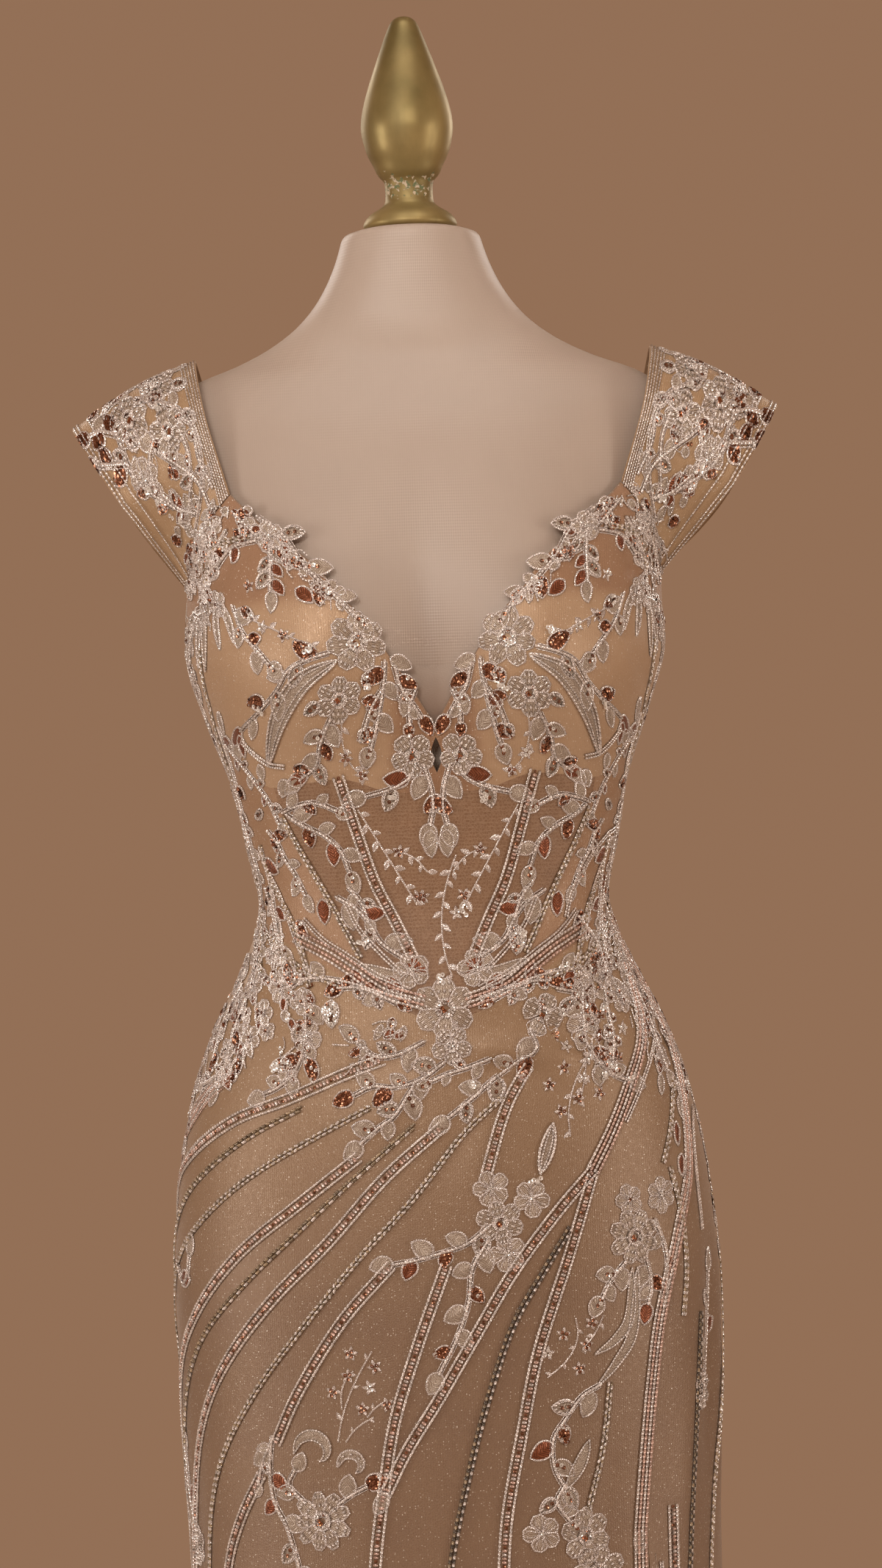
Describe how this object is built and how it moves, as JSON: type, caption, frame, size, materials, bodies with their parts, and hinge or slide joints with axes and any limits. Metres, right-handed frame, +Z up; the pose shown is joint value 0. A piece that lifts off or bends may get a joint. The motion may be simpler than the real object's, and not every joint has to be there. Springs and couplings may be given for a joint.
{
  "type": "evening gown on dress form",
  "caption": "Floor-length beaded lace evening gown with wide cap straps, a plunging neck and a side-front slit, on a limbless dress form with a turned finial and a round stand.",
  "frame": {"origin": "middle of the underside of the round stand, on the floor", "axes": "+Z up along the pole; the gown's front faces -Y; +X is the wearer's left, to the right as seen from the front"},
  "size_m": [0.7128, 0.7301, 1.6676],
  "materials": {
    "glitter_tulle": "fine tulle over satin lining, with a faint glitter",
    "sheer_mesh": "sheer power mesh, finely crinkled",
    "silver_thread": "satin stitch and metallic cord",
    "glass_bead": "silver-lined glass beads",
    "sequin": "metallised sequins",
    "zip_metal": "enamelled zinc",
    "form_cover": "stretch satin knit",
    "aged_gilt": "worn gold paint",
    "pole_steel": "satin",
    "base_enamel": "satin enamel"
  },
  "bodies": {
    "gown_and_form": {"cup_left": "glitter_tulle", "cup_right": "glitter_tulle", "plunge_insert": "sheer_mesh", "midriff_centre": "sheer_mesh", "midriff_left": "sheer_mesh", "midriff_right": "sheer_mesh", "midriff_side_left": "glitter_tulle", "midriff_side_right": "glitter_tulle", "back_left": "glitter_tulle", "back_right": "glitter_tulle", "strap_left": "glitter_tulle", "strap_right": "glitter_tulle", "skirt_front": "glitter_tulle", "skirt_front_side": "glitter_tulle", "skirt_back_left": "glitter_tulle", "skirt_back_right": "glitter_tulle", "zip_slider": "zip_metal", "form_torso": "form_cover", "finial": "aged_gilt", "pole": "pole_steel", "base": "base_enamel"},
    "zip_tab": {"zip_pull": "zip_metal"}
  },
  "joints": [
    {"name": "zip_tab_swing", "type": "hinge", "parent": "gown_and_form", "child": "zip_tab", "pos_m": [-0.00502, 0.09694, 1.17932], "axis": [1, 0, 0], "range_deg": [0, 150]}
  ]
}
